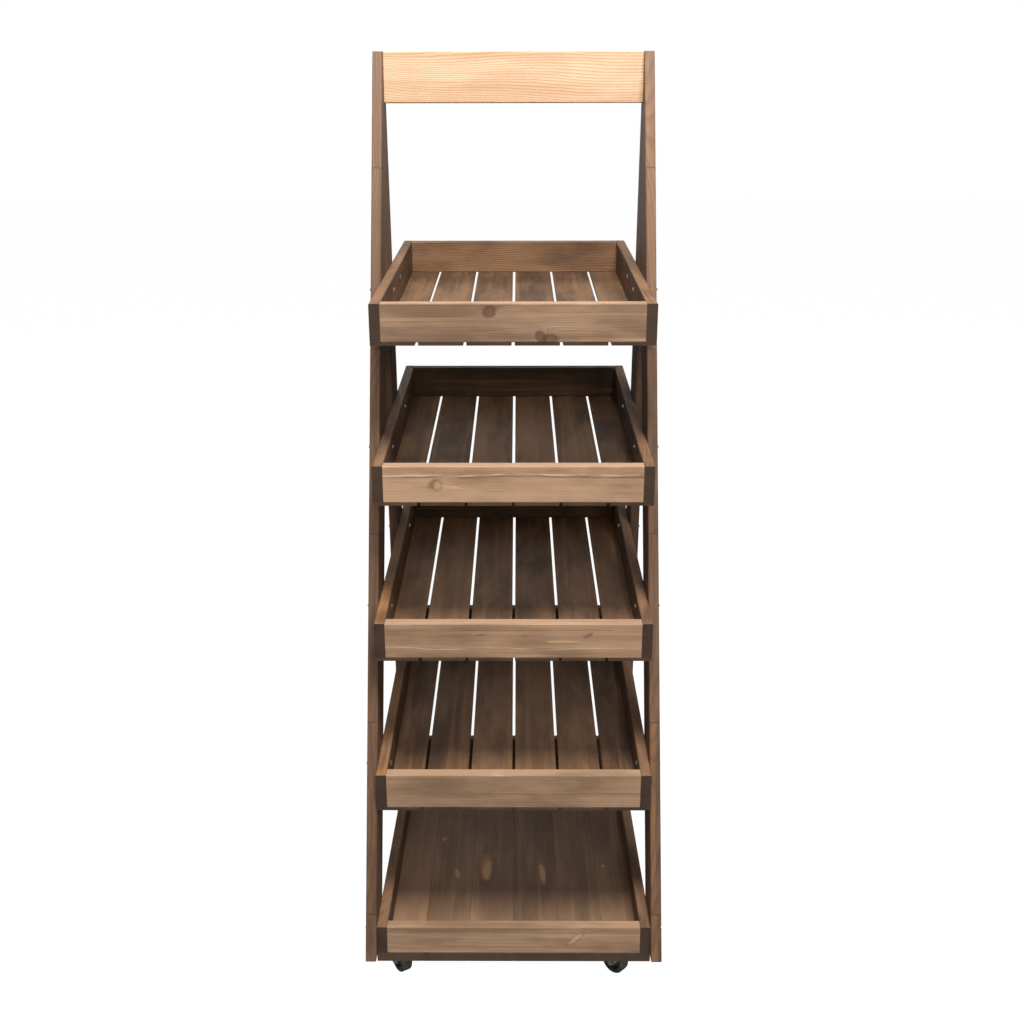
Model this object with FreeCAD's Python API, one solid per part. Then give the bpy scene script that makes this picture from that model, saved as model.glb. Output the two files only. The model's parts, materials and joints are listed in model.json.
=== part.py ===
import FreeCAD, Part
import math
import os

# Five-tray timber display stand on swivel castors.
# Millimetres. +Z is up, the front of the stand faces -Y and +X is to the right seen from the front.
# The origin is on the floor, under the middle of the stand's overall box.
# Two A-shaped side frames stand outside the trays. Trays 1 to 4, counted from the top, tip forward.
# Tray 5 is the level base that the castors are screwed to.

# Side frames
STAND_HEIGHT = 1760.0        # floor to the level top of the legs and the header
FOOT_HEIGHT = 82.0           # floor to the level cut at the foot of each leg
APEX_DEPTH = 30.0            # front to back over both legs at the very top
FRONT_LEAN = 17.8            # degrees, front leg from upright
REAR_LEAN = 7.8              # degrees, rear leg from upright
LEG_WIDTH = 100.0
LEG_THICKNESS = 20.0

# Header board between the legs
HEADER_HEIGHT = 98.0
HEADER_THICKNESS = 18.0

# Trays 1 to 4
TRAY_WIDTH = 520.0
TRAY_DEPTH = 724.0
TRAY_TILT = 4.8              # degrees, front edge low
RIM_HEIGHT = 71.0            # height of the four boards round a tray
SIDE_THICKNESS = 20.0
RAIL_THICKNESS = 22.0        # front and back boards
SLAT_WIDTH = 82.0
SLAT_THICKNESS = 6.0
SLAT_COUNT = 6
TRAY_HEIGHTS = (1232.0, 938.0, 645.0, 358.0)    # floor to the underside of the front board
TRAY_REACHES = (362.0, 390.0, 427.0, 471.0)     # front edge ahead of the middle of the apex

# Tray 5, the base
BASE_FRONT_SETBACK = 19.7    # front of the base behind the front edge of the legs
BASE_BACK_SETBACK = 6.0      # back of the base ahead of the back edge of the legs
BASE_RIM_HEIGHT = 56.0
BASE_FLOOR_THICKNESS = 17.5
BASE_BOARD_COUNT = 6

# Edges of the planed boards
BOARD_ARRIS = 1.5
SLAT_ARRIS = 0.8

# Tray bolts: domed heads inside the trays, washers and nuts outside the legs
BOLT_DIAMETER = 5.0
BOLT_HEAD_DIAMETER = 10.5
BOLT_HEAD_HEIGHT = 3.0
BOLT_TAIL = 2.0              # shank showing past the nut
BOLT_RISE = 46.0             # above the underside of a tilted tray's frame
BASE_BOLT_RISE = 27.0
NUT_ACROSS_FLATS = 8.0
NUT_HEIGHT = 4.0
WASHER_DIAMETER = 15.0
WASHER_THICKNESS = 1.2
BOLT_CLEARANCE = 0.3         # on the radius, in timber and washer

# Apex dowels and header screws
DOWEL_DIAMETER = 8.0
DOWEL_LENGTH = 46.0
DOWEL_COUNT = 3
DOWEL_MARGIN = 60.0          # end dowels to the ends of the mitre
GLUE_GAP = 0.1               # round a dowel and past its ends
SCREW_SHANK_DIAMETER = 4.0
SCREW_HEAD_DIAMETER = 8.0
SCREW_HEAD_HEIGHT = 3.0
SCREW_LENGTH = 50.0
SCREW_INSET = 22.0           # screw to the header's top or bottom edge
SCREW_CLEARANCE = 0.1

# Castors
CASTOR_HEIGHT = 68.0
CASTOR_SIDE_INSET = 48.0     # kingpin to the side of the base
CASTOR_END_INSET = 54.0      # kingpin to the front or back edge of the base
CASTOR_TURNS = (33.0, 48.0, 335.0, 15.0)        # degrees at rest: front left and right, rear left and right
TRAIL = 16.0                 # kingpin to axle, level
WHEEL_DIAMETER = 50.0
WHEEL_WIDTH = 22.0
TYRE_THICKNESS = 6.0
TYRE_CROWN = 3.5             # easing of the tread's two edges
HUB_DIAMETER = 16.0
WEB_THICKNESS = 6.0
RIM_THICKNESS = 3.0
RIM_STEP = 1.0               # rim inside the tyre's sides
PLATE_LENGTH = 56.0
PLATE_THICKNESS = 2.5
PLATE_CORNER = 6.0
PLATE_HOLE_SPACING = 42.0
PLATE_HOLE_DIAMETER = 5.0
CUP_DIAMETER = 40.0
CUP_DEPTH = 7.0
CUP_WALL = 2.0
FORK_THICKNESS = 2.0
FORK_SIDE_GAP = 1.6          # wheel to fork cheek
FORK_FOOT_RADIUS = 8.0
CROWN_DIAMETER = 34.0
CROWN_GAP = 0.4              # fork crown to the cup
KINGPIN_DIAMETER = 8.0
KINGPIN_HEAD_DIAMETER = 13.0
KINGPIN_HEAD_HEIGHT = 2.0
PIVOT_CLEARANCE = 0.05       # running fit on the radius
AXLE_DIAMETER = 6.0
AXLE_HEAD_ACROSS_FLATS = 10.0
AXLE_HEAD_HEIGHT = 4.0
AXLE_TAIL = 1.5
PLATE_SCREW_DIAMETER = 4.0
PLATE_SCREW_LENGTH = 15.0
PLATE_SCREW_HEAD_DIAMETER = 8.0     # over the corners
PLATE_SCREW_HEAD_HEIGHT = 2.4

# Round pieces that don't run on each other are drawn with flats, their corners on the radius.
SHANK_FLATS = 6
HEAD_FLATS = 8
DOWEL_FLATS = 8
CUP_FLATS = 20
WHEEL_FLATS = 20
FORK_FOOT_FLATS = 4          # round the half circle at the foot of a cheek

# Worked out from the sizes above
FRONT_SLOPE = math.tan(math.radians(FRONT_LEAN))
REAR_SLOPE = math.tan(math.radians(REAR_LEAN))
FRONT_LEG_SPAN = LEG_WIDTH / math.cos(math.radians(FRONT_LEAN))
REAR_LEG_SPAN = LEG_WIDTH / math.cos(math.radians(REAR_LEAN))
HALF_TRAY = TRAY_WIDTH / 2
HALF_STAND = HALF_TRAY + LEG_THICKNESS
BASE_HEIGHT = CASTOR_HEIGHT + BASE_FLOOR_THICKNESS
BASE_REACH = APEX_DEPTH / 2 + (STAND_HEIGHT - BASE_HEIGHT) * FRONT_SLOPE - BASE_FRONT_SETBACK
BASE_DEPTH = BASE_REACH + APEX_DEPTH / 2 + (STAND_HEIGHT - BASE_HEIGHT) * REAR_SLOPE - BASE_BACK_SETBACK
SIDES = {"left": -1, "right": 1}

Vector = FreeCAD.Vector
X_AXIS = Vector(1, 0, 0)
Y_AXIS = Vector(0, 1, 0)
Z_AXIS = Vector(0, 0, 1)


class Tray:
    """Where one tray sits. Places on it are a depth from its front and a rise above its frame's foot."""

    def __init__(self, name, reach, height, tilt, depth, rim, floor, bolt_rise):
        self.name = name
        self.reach = reach
        self.height = height
        self.tilt = tilt
        self.depth = depth
        self.rim = rim
        self.floor = floor
        self.bolt_rise = bolt_rise

    def place(self, shape):
        """Tip a shape that was made level at the origin, and carry it to the tray's place."""
        shape.rotate(Vector(0, 0, 0), X_AXIS, self.tilt)
        shape.translate(Vector(0, -self.reach, self.height))
        return shape

    def point(self, depth, rise):
        """The y and z of a place on the tray."""
        angle = math.radians(self.tilt)
        y = -self.reach + depth * math.cos(angle) - rise * math.sin(angle)
        z = self.height + depth * math.sin(angle) + rise * math.cos(angle)
        return y, z

    def bolt_point(self, line_y):
        """Where the tray's bolt line meets the middle line of a leg."""
        low, high = 0.0, self.depth
        for _ in range(60):
            middle = (low + high) / 2
            y, z = self.point(middle, self.bolt_rise)
            if y < line_y(z):
                low = middle
            else:
                high = middle
        return self.point(low, self.bolt_rise)


def make_trays():
    trays = []
    for number, (reach, height) in enumerate(zip(TRAY_REACHES, TRAY_HEIGHTS), start=1):
        trays.append(Tray(f"tray{number}", reach, height, TRAY_TILT, TRAY_DEPTH, RIM_HEIGHT,
                          SLAT_THICKNESS, BOLT_RISE))
    trays.append(Tray(f"tray{len(trays) + 1}", BASE_REACH, BASE_HEIGHT, 0.0, BASE_DEPTH, BASE_RIM_HEIGHT,
                      BASE_FLOOR_THICKNESS, BASE_BOLT_RISE))
    return trays


def front_edge_y(z):
    """The front edge of the front legs at a height."""
    return -APEX_DEPTH / 2 - (STAND_HEIGHT - z) * FRONT_SLOPE


def rear_edge_y(z):
    """The back edge of the rear legs at a height."""
    return APEX_DEPTH / 2 + (STAND_HEIGHT - z) * REAR_SLOPE


def front_leg_middle_y(z):
    return front_edge_y(z) + FRONT_LEG_SPAN / 2


def rear_leg_middle_y(z):
    return rear_edge_y(z) - REAR_LEG_SPAN / 2


TRAYS = make_trays()
BASE = TRAYS[-1]

# The crotch is where the legs' inner edges meet. The mitre runs from it towards the peak, where the outer
# edges would meet.
CROTCH_DROP = (FRONT_LEG_SPAN + REAR_LEG_SPAN - APEX_DEPTH) / (FRONT_SLOPE + REAR_SLOPE)
CROTCH_Z = STAND_HEIGHT - CROTCH_DROP
CROTCH_Y = front_edge_y(CROTCH_Z) + FRONT_LEG_SPAN
PEAK_Z = STAND_HEIGHT + APEX_DEPTH / (FRONT_SLOPE + REAR_SLOPE)
PEAK_Y = front_edge_y(PEAK_Z)
MITRE_SLOPE = (PEAK_Y - CROTCH_Y) / (PEAK_Z - CROTCH_Z)
MITRE_TOP_Y = CROTCH_Y + CROTCH_DROP * MITRE_SLOPE

# The overall box, front to back, is centred on the origin.
FRONT_REACH = min(front_edge_y(FOOT_HEIGHT), -BASE_REACH)
BACK_REACH = max(max(tray.point(tray.depth, -tray.floor)[0] for tray in TRAYS), rear_edge_y(FOOT_HEIGHT))
CENTRE_SHIFT = -(FRONT_REACH + BACK_REACH) / 2


def export(shape, node):
    """Move a finished piece from the apex datum to the origin and write it."""
    shape.translate(Vector(0, CENTRE_SHIFT, 0))
    shape.exportStep(f"parts/{node}.step")


def along(direction, start, radius, length):
    return Part.makeCylinder(radius, length, start, direction)


def distinct(corners):
    """The corners of a face, without those that fall together on the axis."""
    kept = []
    for corner in corners:
        if all(corner.distanceToPoint(other) > 1e-6 for other in kept):
            kept.append(corner)
    return kept


def turned(outline, flats, direction, start):
    """A turned piece drawn with flats, from its half-section as places of (distance along, radius)."""
    rings = []
    for distance, radius in outline:
        ring = []
        for flat in range(flats):
            angle = 2 * math.pi * flat / flats
            ring.append(Vector(radius * math.cos(angle), radius * math.sin(angle), distance))
        rings.append(ring)
    faces = []
    for near, far in zip(rings, rings[1:] + rings[:1]):
        for flat in range(flats):
            ahead = (flat + 1) % flats
            corners = distinct([near[flat], near[ahead], far[ahead], far[flat]])
            if len(corners) > 2:
                faces.append(Part.Face(Part.makePolygon(corners + corners[:1])))
    shell = Part.makeShell(faces)
    shell.sewShape()
    solid = Part.makeSolid(shell)
    if solid.Volume < 0:
        solid.reverse()
    solid = solid.removeSplitter()
    solid.Placement = FreeCAD.Placement(start, FreeCAD.Rotation(Z_AXIS, direction))
    return solid


def prism(direction, start, radius, length, flats):
    """A straight bar with flats."""
    return turned([(0, 0), (0, radius), (length, radius), (length, 0)], flats, direction, start)


def clear_prism(direction, start, radius, length, flats):
    """A bar with flats that a round hole of this radius fits inside, to cut holes for round pins."""
    return prism(direction, start, radius / math.cos(math.pi / flats), length, flats)


def hexagon(across_flats, height, start, direction):
    return prism(direction, start, across_flats / math.sqrt(3), height, 6)


def ease_long_edges(board, direction, arris):
    """Chamfer the edges of a board that run along direction."""
    edges = []
    for edge in board.Edges:
        tangent = edge.tangentAt(edge.FirstParameter)
        if abs(abs(tangent.dot(direction)) - 1) < 1e-6:
            edges.append(edge)
    return board.makeChamfer(arris, edges)


def board(size, corner, direction, arris):
    """A planed board with its long edges eased."""
    solid = Part.makeBox(size[0], size[1], size[2], corner)
    return ease_long_edges(solid, direction, arris)


def leg_outline_solid(points, side):
    """Extrude a leg's outline, given in y and z, from the tray side outwards."""
    inner_x = HALF_TRAY * side
    corners = [Vector(inner_x, y, z) for y, z in points]
    face = Part.Face(Part.makePolygon(corners + corners[:1]))
    return face.extrude(Vector(LEG_THICKNESS * side, 0, 0))


def ease_sloping_edges(leg, lean):
    """Chamfer a leg's long outer and inner edges, which lean by an angle."""
    angle = math.radians(lean)
    return ease_long_edges(leg, Vector(0, math.sin(angle), math.cos(angle)), BOARD_ARRIS)


def front_leg(side):
    points = [
        (front_edge_y(FOOT_HEIGHT), FOOT_HEIGHT),
        (front_edge_y(FOOT_HEIGHT) + FRONT_LEG_SPAN, FOOT_HEIGHT),
        (CROTCH_Y, CROTCH_Z),
        (MITRE_TOP_Y, STAND_HEIGHT),
        (front_edge_y(STAND_HEIGHT), STAND_HEIGHT),
    ]
    return ease_sloping_edges(leg_outline_solid(points, side), FRONT_LEAN)


def rear_leg(side):
    points = [
        (rear_edge_y(FOOT_HEIGHT) - REAR_LEG_SPAN, FOOT_HEIGHT),
        (rear_edge_y(FOOT_HEIGHT), FOOT_HEIGHT),
        (rear_edge_y(STAND_HEIGHT), STAND_HEIGHT),
        (MITRE_TOP_Y, STAND_HEIGHT),
        (CROTCH_Y, CROTCH_Z),
    ]
    return ease_sloping_edges(leg_outline_solid(points, side), -REAR_LEAN)


def apex_dowels(gap):
    """The dowels across both mitres, grown by gap to cut their holes."""
    across = Vector(0, 1, -MITRE_SLOPE)
    across.normalize()
    length = DOWEL_LENGTH + 2 * gap
    mitre_length = CROTCH_DROP - 2 * DOWEL_MARGIN
    dowels = []
    for side in SIDES.values():
        for index in range(DOWEL_COUNT):
            z = CROTCH_Z + DOWEL_MARGIN + mitre_length * index / (DOWEL_COUNT - 1)
            y = CROTCH_Y + (z - CROTCH_Z) * MITRE_SLOPE
            middle = Vector((HALF_TRAY + LEG_THICKNESS / 2) * side, y, z)
            start = middle - across * (length / 2)
            dowels.append(prism(across, start, DOWEL_DIAMETER / 2 + gap, length, DOWEL_FLATS))
    return Part.makeCompound(dowels)


def header_board():
    """The header stands upright between the legs, its back flush with the rear corner of their tops."""
    back_y = rear_edge_y(STAND_HEIGHT)
    corner = Vector(-HALF_TRAY, back_y - HEADER_THICKNESS, STAND_HEIGHT - HEADER_HEIGHT)
    return board((TRAY_WIDTH, HEADER_THICKNESS, HEADER_HEIGHT), corner, X_AXIS, BOARD_ARRIS)


def header_screws(gap):
    """Countersunk screws through the legs into the ends of the header, grown by gap to cut their holes."""
    y = rear_edge_y(STAND_HEIGHT) - HEADER_THICKNESS / 2
    heights = (STAND_HEIGHT - SCREW_INSET, STAND_HEIGHT - HEADER_HEIGHT + SCREW_INSET)
    shank_radius = SCREW_SHANK_DIAMETER / 2 + gap
    outline = [
        (0, 0),
        (0, SCREW_HEAD_DIAMETER / 2 + gap),
        (SCREW_HEAD_HEIGHT, shank_radius),
        (SCREW_LENGTH + gap, shank_radius),
        (SCREW_LENGTH + gap, 0),
    ]
    screws = []
    for side in SIDES.values():
        for z in heights:
            screws.append(turned(outline, HEAD_FLATS, X_AXIS * -side, Vector(HALF_STAND * side, y, z)))
    return Part.makeCompound(screws)


def bolt_places():
    """The y and z of every tray bolt, each used on both sides of the stand."""
    places = []
    for tray in TRAYS:
        places.append(tray.bolt_point(front_leg_middle_y))
        places.append(tray.bolt_point(rear_leg_middle_y))
    return places


def bolt_holes():
    """One drill through each pair of legs and tray sides."""
    radius = BOLT_DIAMETER / 2 + BOLT_CLEARANCE
    length = 2 * (HALF_STAND + 1)
    drills = []
    for y, z in bolt_places():
        drills.append(prism(X_AXIS, Vector(-length / 2, y, z), radius, length, SHANK_FLATS))
    return Part.makeCompound(drills)


def domed_bolt(side, y, z):
    """A bolt with a domed head on the tray's inner face and its shank outwards."""
    grip = LEG_THICKNESS + SIDE_THICKNESS + WASHER_THICKNESS + NUT_HEIGHT + BOLT_TAIL
    head_radius = BOLT_HEAD_DIAMETER / 2
    dome_radius = (head_radius ** 2 + BOLT_HEAD_HEIGHT ** 2) / (2 * BOLT_HEAD_HEIGHT)
    half_angle = math.asin(head_radius / dome_radius) / 2
    shoulder_rise = BOLT_HEAD_HEIGHT - dome_radius * (1 - math.cos(half_angle))
    shoulder = (shoulder_rise, dome_radius * math.sin(half_angle))
    outline = [(0, 0), (0, head_radius), shoulder, (BOLT_HEAD_HEIGHT, 0)]
    seat = Vector((HALF_TRAY - SIDE_THICKNESS) * side, y, z)
    head = turned(outline, HEAD_FLATS, X_AXIS * -side, seat)
    shank = prism(X_AXIS * side, seat, BOLT_DIAMETER / 2, grip, SHANK_FLATS)
    return head.fuse(shank).removeSplitter()


def washer(side, y, z):
    start = Vector(HALF_STAND * side, y, z)
    outward = X_AXIS * side
    disc = prism(outward, start, WASHER_DIAMETER / 2, WASHER_THICKNESS, HEAD_FLATS)
    return disc.cut(prism(outward, start, BOLT_DIAMETER / 2 + BOLT_CLEARANCE, WASHER_THICKNESS, SHANK_FLATS))


def nut(side, y, z):
    outward = X_AXIS * side
    start = Vector((HALF_STAND + WASHER_THICKNESS) * side, y, z)
    bore = prism(outward, start, BOLT_DIAMETER / 2 + PIVOT_CLEARANCE, NUT_HEIGHT, SHANK_FLATS)
    return hexagon(NUT_ACROSS_FLATS, NUT_HEIGHT, start, outward).cut(bore)


def on_every_bolt(make_piece):
    """One of a kind of fastener at every bolt, on both sides."""
    return Part.makeCompound([make_piece(side, y, z) for side in SIDES.values() for y, z in bolt_places()])


def tray_side(tray, side):
    """A side board, which runs the full depth of the tray."""
    left = -HALF_TRAY if side < 0 else HALF_TRAY - SIDE_THICKNESS
    size = (SIDE_THICKNESS, tray.depth, tray.rim)
    return tray.place(board(size, Vector(left, 0, 0), Y_AXIS, BOARD_ARRIS))


def tray_rail(tray, depth):
    """A front or back board, which fits between the side boards."""
    size = (TRAY_WIDTH - 2 * SIDE_THICKNESS, RAIL_THICKNESS, tray.rim)
    return tray.place(board(size, Vector(-HALF_TRAY + SIDE_THICKNESS, depth, 0), X_AXIS, BOARD_ARRIS))


def tray_floor(tray, count, width):
    """Boards from front to back under the frame, spread evenly over the tray's width."""
    pitch = (TRAY_WIDTH - width) / (count - 1)
    boards = []
    for index in range(count):
        corner = Vector(-HALF_TRAY + index * pitch, 0, -tray.floor)
        boards.append(board((width, tray.depth, tray.floor), corner, Y_AXIS, SLAT_ARRIS))
    return tray.place(Part.makeCompound(boards))


def castor_places():
    """The kingpin's x and y and the turn at rest of each castor."""
    x = HALF_TRAY - CASTOR_SIDE_INSET
    front_y = -BASE_REACH + CASTOR_END_INSET
    rear_y = -BASE_REACH + BASE_DEPTH - CASTOR_END_INSET
    names = ("front_left", "front_right", "rear_left", "rear_right")
    corners = ((-x, front_y), (x, front_y), (-x, rear_y), (x, rear_y))
    return [(name, corner, turn) for name, corner, turn in zip(names, corners, CASTOR_TURNS)]


def set_castor(shape, corner, turn):
    """Turn a castor's piece about its kingpin and carry it to its corner."""
    shape.rotate(Vector(0, 0, 0), Z_AXIS, turn)
    shape.translate(Vector(corner[0], corner[1], 0))
    return shape


PLATE_FACE_Z = CASTOR_HEIGHT - PLATE_THICKNESS
CUP_FACE_Z = PLATE_FACE_Z - CUP_DEPTH
FORK_CROWN_Z = CUP_FACE_Z - CROWN_GAP - FORK_THICKNESS
WHEEL_RADIUS = WHEEL_DIAMETER / 2
CHEEK_X = WHEEL_WIDTH / 2 + FORK_SIDE_GAP
PLATE_HOLE_OFFSETS = [(x, y) for x in (-PLATE_HOLE_SPACING / 2, PLATE_HOLE_SPACING / 2)
                      for y in (-PLATE_HOLE_SPACING / 2, PLATE_HOLE_SPACING / 2)]


def castor_plate():
    """The top plate, with the pressed raceway cup under it and four screw holes."""
    half = PLATE_LENGTH / 2
    plate = Part.makeBox(PLATE_LENGTH, PLATE_LENGTH, PLATE_THICKNESS, Vector(-half, -half, PLATE_FACE_Z))
    corners = [edge for edge in plate.Edges if edge.Length < PLATE_THICKNESS + 0.01]
    plate = plate.makeChamfer(PLATE_CORNER, corners)
    cup_outline = [(0, 0), (0, CUP_DIAMETER / 2 - CUP_WALL), (CUP_DEPTH, CUP_DIAMETER / 2), (CUP_DEPTH, 0)]
    cup_foot = Vector(0, 0, CUP_FACE_Z)
    plate = plate.fuse(turned(cup_outline, CUP_FLATS, Z_AXIS, cup_foot))
    pin_radius = KINGPIN_DIAMETER / 2 + PIVOT_CLEARANCE
    plate = plate.cut(clear_prism(Z_AXIS, cup_foot, pin_radius, CUP_DEPTH + PLATE_THICKNESS, HEAD_FLATS))
    for x, y in PLATE_HOLE_OFFSETS:
        place = Vector(x, y, PLATE_FACE_Z)
        plate = plate.cut(prism(Z_AXIS, place, PLATE_HOLE_DIAMETER / 2, PLATE_THICKNESS, SHANK_FLATS))
    return plate.removeSplitter()


def castor_kingpin():
    """The pin that carries the fork: held in the plate, with its head under the fork's crown."""
    foot = FORK_CROWN_Z - CROWN_GAP - KINGPIN_HEAD_HEIGHT
    head = prism(Z_AXIS, Vector(0, 0, foot), KINGPIN_HEAD_DIAMETER / 2, KINGPIN_HEAD_HEIGHT, HEAD_FLATS)
    pin = along(Z_AXIS, Vector(0, 0, foot), KINGPIN_DIAMETER / 2, CASTOR_HEIGHT - foot)
    return head.fuse(pin).removeSplitter()


def fork_cheek(side):
    """One cheek of the fork, tapering from the crown to a round foot at the axle."""
    half_crown = CROWN_DIAMETER / 2 - FORK_THICKNESS
    top = FORK_CROWN_Z + FORK_THICKNESS
    corners = [Vector(0, half_crown, top), Vector(0, -half_crown, top)]
    for step in range(FORK_FOOT_FLATS + 1):
        angle = math.pi * (1 + step / FORK_FOOT_FLATS)
        corners.append(Vector(0, TRAIL + FORK_FOOT_RADIUS * math.cos(angle),
                              WHEEL_RADIUS + FORK_FOOT_RADIUS * math.sin(angle)))
    cheek = Part.Face(Part.makePolygon(corners + corners[:1])).extrude(Vector(FORK_THICKNESS, 0, 0))
    left = CHEEK_X if side > 0 else -CHEEK_X - FORK_THICKNESS
    cheek.translate(Vector(left, 0, 0))
    return cheek


def castor_fork():
    """The swivel fork: a round crown on the kingpin and two cheeks folded down to the axle."""
    half_crown = CROWN_DIAMETER / 2 - FORK_THICKNESS
    width = 2 * (CHEEK_X + FORK_THICKNESS)
    corner = Vector(-width / 2, -half_crown, FORK_CROWN_Z)
    strap = Part.makeBox(width, 2 * half_crown, FORK_THICKNESS, corner)
    crown = prism(Z_AXIS, Vector(0, 0, FORK_CROWN_Z), CROWN_DIAMETER / 2, FORK_THICKNESS, CUP_FLATS)
    fork = strap.fuse([crown, fork_cheek(-1), fork_cheek(1)])
    pin_radius = KINGPIN_DIAMETER / 2 + PIVOT_CLEARANCE
    pin_hole = along(Z_AXIS, Vector(0, 0, FORK_CROWN_Z), pin_radius, FORK_THICKNESS)
    axle_start = Vector(-width / 2, TRAIL, WHEEL_RADIUS)
    axle_hole = clear_prism(X_AXIS, axle_start, AXLE_DIAMETER / 2 + PIVOT_CLEARANCE, width, HEAD_FLATS)
    return fork.cut([pin_hole, axle_hole]).removeSplitter()


def castor_axle():
    """The axle bolt and its nut, outside the two cheeks."""
    outer_x = CHEEK_X + FORK_THICKNESS
    centre = Vector(0, TRAIL, WHEEL_RADIUS)
    start = centre + Vector(-outer_x, 0, 0)
    shank_length = 2 * outer_x + AXLE_HEAD_HEIGHT + AXLE_TAIL
    head = hexagon(AXLE_HEAD_ACROSS_FLATS, AXLE_HEAD_HEIGHT, start, X_AXIS * -1)
    bolt = head.fuse(along(X_AXIS, start, AXLE_DIAMETER / 2, shank_length)).removeSplitter()
    nut_start = centre + Vector(outer_x, 0, 0)
    lock_nut = hexagon(AXLE_HEAD_ACROSS_FLATS, AXLE_HEAD_HEIGHT, nut_start, X_AXIS)
    bore_radius = AXLE_DIAMETER / 2 + PIVOT_CLEARANCE
    bore = clear_prism(X_AXIS, nut_start, bore_radius, AXLE_HEAD_HEIGHT, HEAD_FLATS)
    return Part.makeCompound([bolt, lock_nut.cut(bore)])


def wheel_ring(points):
    """Spin an outline of half-width and radius about the axle."""
    return turned(points, WHEEL_FLATS, X_AXIS, Vector(0, TRAIL, WHEEL_RADIUS))


def castor_wheel():
    """The wheel's core: a hub, a dished web and a rim."""
    half = WHEEL_WIDTH / 2
    rim_outer = WHEEL_RADIUS - TYRE_THICKNESS
    rim_inner = rim_outer - RIM_THICKNESS
    lip = half - RIM_STEP
    web = WEB_THICKNESS / 2
    right = [(half, 0), (half, HUB_DIAMETER / 2), (web, rim_inner), (lip, rim_inner), (lip, rim_outer)]
    left = [(-x, radius) for x, radius in reversed(right)]
    bore_start = Vector(-half, TRAIL, WHEEL_RADIUS)
    bore = along(X_AXIS, bore_start, AXLE_DIAMETER / 2 + PIVOT_CLEARANCE, WHEEL_WIDTH)
    return wheel_ring(right + left).cut(bore)


def castor_tyre():
    """The tyre, with its tread edges eased."""
    half = WHEEL_WIDTH / 2
    right = [(half, WHEEL_RADIUS - TYRE_THICKNESS), (half, WHEEL_RADIUS - TYRE_CROWN),
             (half - TYRE_CROWN, WHEEL_RADIUS)]
    left = [(-x, radius) for x, radius in reversed(right)]
    return wheel_ring(right + left)


def castor_screws():
    """Hexagon-headed screws up through each plate into the base."""
    tip = PLATE_SCREW_HEAD_HEIGHT + PLATE_SCREW_LENGTH
    outline = [
        (0, 0),
        (0, PLATE_SCREW_HEAD_DIAMETER / 2),
        (PLATE_SCREW_HEAD_HEIGHT, PLATE_SCREW_HEAD_DIAMETER / 2),
        (PLATE_SCREW_HEAD_HEIGHT, PLATE_SCREW_DIAMETER / 2),
        (tip, PLATE_SCREW_DIAMETER / 2),
        (tip, 0),
    ]
    screws = []
    for _, corner, _ in castor_places():
        for x, y in PLATE_HOLE_OFFSETS:
            foot = Vector(corner[0] + x, corner[1] + y, PLATE_FACE_Z - PLATE_SCREW_HEAD_HEIGHT)
            screws.append(turned(outline, SHANK_FLATS, Z_AXIS, foot))
    return Part.makeCompound(screws)


def castor_screw_holes():
    """Pilot holes in the base for the castor screws."""
    depth = PLATE_SCREW_LENGTH - PLATE_THICKNESS + SCREW_CLEARANCE
    radius = PLATE_SCREW_DIAMETER / 2 + SCREW_CLEARANCE
    holes = []
    for _, corner, _ in castor_places():
        for x, y in PLATE_HOLE_OFFSETS:
            start = Vector(corner[0] + x, corner[1] + y, CASTOR_HEIGHT)
            holes.append(prism(Z_AXIS, start, radius, depth, SHANK_FLATS))
    return Part.makeCompound(holes)


def build_side_frames():
    holes = [bolt_holes(), apex_dowels(GLUE_GAP), header_screws(SCREW_CLEARANCE)]
    for name, side in SIDES.items():
        export(front_leg(side).cut(holes), f"{name}_front_leg")
        export(rear_leg(side).cut(holes), f"{name}_rear_leg")
    export(header_board().cut(header_screws(SCREW_CLEARANCE)), "header_board")
    export(apex_dowels(0), "apex_dowels")
    export(header_screws(0), "header_screws")


def build_trays():
    holes = bolt_holes()
    for tray in TRAYS:
        for name, side in SIDES.items():
            export(tray_side(tray, side).cut(holes), f"{tray.name}_{name}_side")
        export(tray_rail(tray, 0), f"{tray.name}_front_board")
        export(tray_rail(tray, tray.depth - RAIL_THICKNESS), f"{tray.name}_back_board")
        if tray is BASE:
            floor = tray_floor(tray, BASE_BOARD_COUNT, TRAY_WIDTH / BASE_BOARD_COUNT)
            export(floor.cut(castor_screw_holes()), f"{tray.name}_floor_boards")
        else:
            export(tray_floor(tray, SLAT_COUNT, SLAT_WIDTH), f"{tray.name}_slats")
    export(on_every_bolt(domed_bolt), "tray_bolts")
    export(on_every_bolt(washer), "tray_washers")
    export(on_every_bolt(nut), "tray_nuts")


def build_castors():
    kingpins = []
    for name, corner, turn in castor_places():
        export(set_castor(castor_plate(), corner, 0), f"castor_{name}_plate")
        export(set_castor(castor_fork(), corner, turn), f"castor_{name}_fork")
        export(set_castor(castor_axle(), corner, turn), f"castor_{name}_axle")
        export(set_castor(castor_wheel(), corner, turn), f"castor_{name}_wheel")
        export(set_castor(castor_tyre(), corner, turn), f"castor_{name}_tyre")
        kingpins.append(set_castor(castor_kingpin(), corner, 0))
    export(Part.makeCompound(kingpins), "castor_kingpins")
    export(castor_screws(), "castor_screws")


os.makedirs("parts", exist_ok=True)
build_side_frames()
build_trays()
build_castors()
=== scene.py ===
import json
import math

import bmesh
import bpy
from mathutils import Matrix, Vector


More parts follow.
